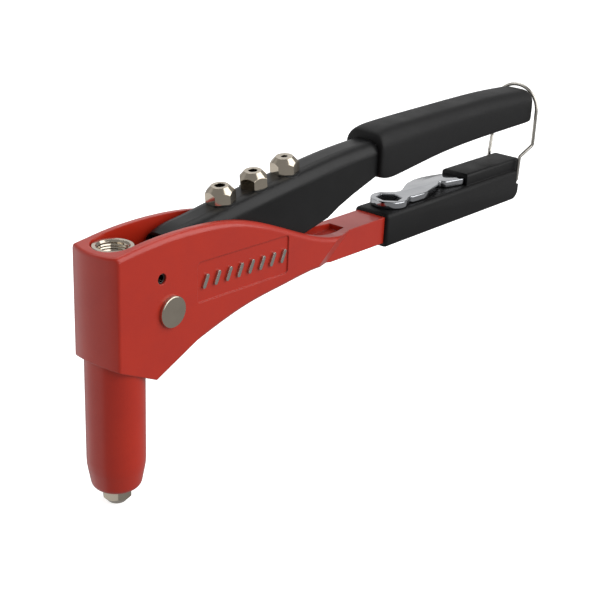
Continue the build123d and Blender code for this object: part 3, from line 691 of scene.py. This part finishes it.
ring = [around(RING_R, degrees) for degrees in range(40, 316, 9)]
near_edge = [(5.0, -6.6), (8.8, -5.5), (9.6, -6.2), (13.5, -6.55), (17.4, -6.65), (20.4, -6.5),
             (21.2, -6.1), (34.0, -2.9), (37.4, -1.0), (38.6, -0.5), (39.4, -0.9), (39.9, -2.4),
             (41.0, -3.2), (46.0, -4.4), (51.0, -5.6), (78.8, -5.6)]
far_edge = [(78.8, 5.6), (51.0, 5.6), (50, 6.2), (45, 7.6), (39.9, 8.7), (36, 9.15), (32.1, 9.2),
            (25, 8.0), (18.5, 5.3), (14.5, 3.3), (11.4, 2.7), (8.6, 3.6)]
hexagon = [around(HEXAGON_R, 60 * i + HEXAGON_TURN) for i in range(6)]
print("spanner outline", len(ring + near_edge + far_edge), "points, hexagon", len(hexagon), "points")

# %% Model the spanner
EDGE_RADIUS = 0.35 * MM
PLATE_THICKNESS = 2.9 * MM
flat = bpy.data.curves.new("spanner_plate", "CURVE")
flat.dimensions = "2D"
flat.fill_mode = "BOTH"
flat.extrude = PLATE_THICKNESS / 2 - EDGE_RADIUS
flat.bevel_depth = EDGE_RADIUS
flat.bevel_resolution = 2
flat.offset = -EDGE_RADIUS
for points in (ring + near_edge + far_edge, hexagon[::-1]):
    spline = flat.splines.new("POLY")
    spline.points.add(len(points) - 1)
    for point, (u, v) in zip(spline.points, points):
        point.co = (u * MM, v * MM, 0, 1)
    spline.use_cyclic_u = True
spanner = bpy.data.objects.new("spanner_plate", flat)
bpy.context.collection.objects.link(spanner)
only(spanner)
bpy.ops.object.convert(target="MESH")
print("plate", len(bpy.context.object.data.polygons), "faces")

# %% Lay the spanner on the grip
low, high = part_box("spanner")
spanner = bpy.context.object
spanner.rotation_euler = (0, math.atan(SLOPE), 0)
spanner.location = (low.x + RING_R * MM, 0, high.z - PLATE_THICKNESS / 2)
finish_piece(spanner, 35)
dress(spanner, "chrome_plate")
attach(spanner, "spanner")
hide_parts("spanner")

# %% [markdown]
# ## The thread in the sleeve's mouth
#
# The ring at the top of the housing is cut with a fine thread inside. A bump would fake it, but the
# mouth is seen from close by, so a small triangle of a profile is spun up the bore by a Screw
# modifier, which leaves a real helical ridge.

# %% Spin the profile up the bore
THREAD_PITCH = 1.0 * MM
THREAD_TURNS = 6
BORE = 5.3 * MM
RIDGE_RADIUS = 0.42 * MM
THREAD_START = 6.9 * MM
STEPS_PER_TURN = 48
low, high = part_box("pull_sleeve")
bpy.ops.object.select_all(action="DESELECT")
bpy.ops.mesh.primitive_circle_add(
    vertices=3, radius=RIDGE_RADIUS, location=(BORE, 0, high.z - THREAD_START),
    rotation=(math.pi / 2, 0, 0), fill_type="NOTHING")
thread = bpy.context.object
thread.name = "sleeve_thread"
bpy.ops.object.transform_apply(location=True, rotation=True, scale=True)
use(thread, "SCREW", "helix", axis="Z", angle=2 * math.pi * THREAD_TURNS,
    screw_offset=THREAD_PITCH * THREAD_TURNS, steps=STEPS_PER_TURN * THREAD_TURNS,
    render_steps=STEPS_PER_TURN * THREAD_TURNS, use_merge_vertices=False)
print("ridge of", THREAD_TURNS, "turns,", len(thread.data.polygons), "faces")

# %% Fill the ridge's two ends
bpy.ops.object.mode_set(mode="EDIT")
bpy.ops.mesh.select_mode(type="EDGE")
bpy.ops.mesh.select_all(action="DESELECT")
bpy.ops.mesh.select_non_manifold(extend=False)
bpy.ops.mesh.fill()
bpy.ops.object.mode_set(mode="OBJECT")
finish_piece(thread, 30)
dress(thread, "nickel_plate")
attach(thread, "jaw_carrier")

# %% [markdown]
# ## The floor
#
# A wide flat floor lies just under the tool. It glows enough to be white to the camera, so the tool
# stands alone, and diffuse and glossy rays pass through it, so that it neither lights the undersides
# nor shows in the metal.

# %% Floor
FLOOR_SIZE = 60
FLOOR_GAP = 0.0004
PAPER_WHITE = 0.86
PAPER_GLOW = 0.70
bpy.ops.object.select_all(action="DESELECT")
bpy.ops.mesh.primitive_plane_add(size=FLOOR_SIZE, location=(0, 0, cad_low.z - FLOOR_GAP))
floor = bpy.context.object
floor.name = "floor"
bpy.ops.object.transform_apply(location=True, rotation=True, scale=True)
paper = bpy.data.materials.new("pale_floor")
paper.use_nodes = True
paper_shader = paper.node_tree.nodes["Principled BSDF"]
paper_shader.inputs["Base Color"].default_value = (PAPER_WHITE, PAPER_WHITE, PAPER_WHITE, 1)
paper_shader.inputs["Roughness"].default_value = 0.9
paper_shader.inputs["Specular IOR Level"].default_value = 0.1
paper_shader.inputs["Emission Color"].default_value = (1, 1, 1, 1)
paper_shader.inputs["Emission Strength"].default_value = PAPER_GLOW
floor.data.materials.append(paper)
floor.visible_diffuse = False
floor.visible_glossy = False
floor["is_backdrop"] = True
print("floor", FLOOR_GAP / MM, "mm under the tool")

# %% [markdown]
# ## The lights
#
# Three soft panels stand round the tool. The key is the largest and strongest: it is on the near
# side at the camera's right, and lights the long sides. One over the tool, a little behind it, draws
# the highlights along the grips and the crest, and a weak one on the far side lifts the back. Large
# panels have soft shadows and broad, even reflections.

# %% Lights, as a name, a place from the tool's middle, a size and a power
LIGHTS = (("over", (0.1, 0.35, 0.9), (1.3, 0.6), 3.2),
          ("key", (0.45, -1.1, 0.65), (2.0, 1.6), 21.5),
          ("rim", (0.75, 0.95, 0.45), (1.4, 0.6), 1.3))


def softbox(name, place, aim, size, power):
    """A rectangular area light at a place, facing a point, which the camera doesn't see."""
    lamp = bpy.data.lights.new(name, "AREA")
    lamp.shape = "RECTANGLE"
    lamp.size, lamp.size_y = size
    lamp.energy = power
    holder = bpy.data.objects.new(name, lamp)
    bpy.context.collection.objects.link(holder)
    holder.location = place
    holder.visible_camera = False
    holder.rotation_euler = (Vector(aim) - Vector(place)).to_track_quat("-Z", "Y").to_euler()
    print(name, "light of", power, "W")


middle = (cad_low + cad_high) / 2
for name, offset, size, power in LIGHTS:
    softbox(name, middle + Vector(offset), middle, size, power)

# %% [markdown]
# ## The room
#
# Polished metal and gloss paint show what stands round them. The world is a dim room with one
# bright wall at the camera's left, which gives the housing's front its pale sheen. Its strength
# depends on the direction: a dot product with the wall's direction, spread from dim to bright.
# The camera itself sees plain white.

# %% The room
WALL_DIRECTION = (-0.62, 0.72, -0.30)
WALL_STARTS, WALL_FULL = 0.58, 0.78
ROOM_DIM, WALL_BRIGHT = 0.32, 0.80
world = bpy.data.worlds.new("studio")
bpy.context.scene.world = world
world.use_nodes = True
room = world.node_tree
direction = room.nodes.new("ShaderNodeTexCoord")
towards = room.nodes.new("ShaderNodeVectorMath")
towards.operation = "DOT_PRODUCT"
towards.inputs[1].default_value = WALL_DIRECTION
room.links.new(direction.outputs["Generated"], towards.inputs[0])
wall = spread(room, towards.outputs["Value"], WALL_STARTS, WALL_FULL, ROOM_DIM, WALL_BRIGHT)
seen = room.nodes.new("ShaderNodeLightPath")
strength = math_node(room, "MAXIMUM", wall, seen.outputs["Is Camera Ray"])
room.links.new(strength, room.nodes["Background"].inputs["Strength"])
room.nodes["Background"].inputs["Color"].default_value = (1, 1, 1, 1)
bpy.context.scene.view_settings.view_transform = "Standard"
print("room at", ROOM_DIM, "with a wall at", WALL_BRIGHT)

# %% [markdown]
# ## Sizes and the end
#
# The visual model's box is measured at the end, as the CAD model's box is at the start.
# The visual model has to stay within the CAD model's box.

# %% Measure the visual model's box
low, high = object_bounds()
